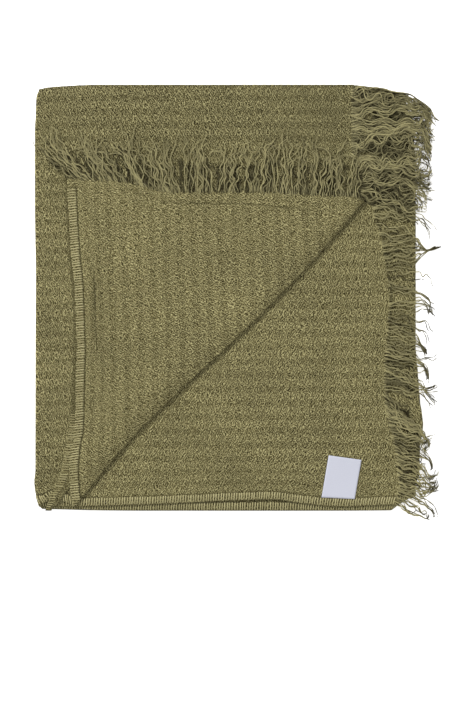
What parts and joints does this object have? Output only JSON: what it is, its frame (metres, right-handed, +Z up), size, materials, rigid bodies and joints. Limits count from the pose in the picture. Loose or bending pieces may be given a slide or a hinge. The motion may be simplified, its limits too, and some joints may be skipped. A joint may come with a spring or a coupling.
{
  "type": "folded linen throw blanket",
  "caption": "Fringed linen throw in a diamond weave, folded flat in layers with one top corner turned back and a small sewn label.",
  "frame": {"origin": "middle of the folded throw's footprint, on the surface that it lies on", "axes": "+X along the throw's length towards the fringed end, +Y across it towards the fold, +Z up"},
  "size_m": [0.6262, 0.652, 0.0239],
  "materials": {
    "linen": "washed, woven in raised diamonds",
    "fringe": "raw warp threads",
    "label": "woven ribbon, plain"
  },
  "bodies": {
    "root": {"throw_cloth": "linen", "fringe_under_layer": "fringe", "fringe_top_layer": "fringe", "fringe_turned_corner": "fringe", "fringe_inner_lower": "fringe", "fringe_inner_upper": "fringe", "side_label": "label"}
  },
  "joints": []
}
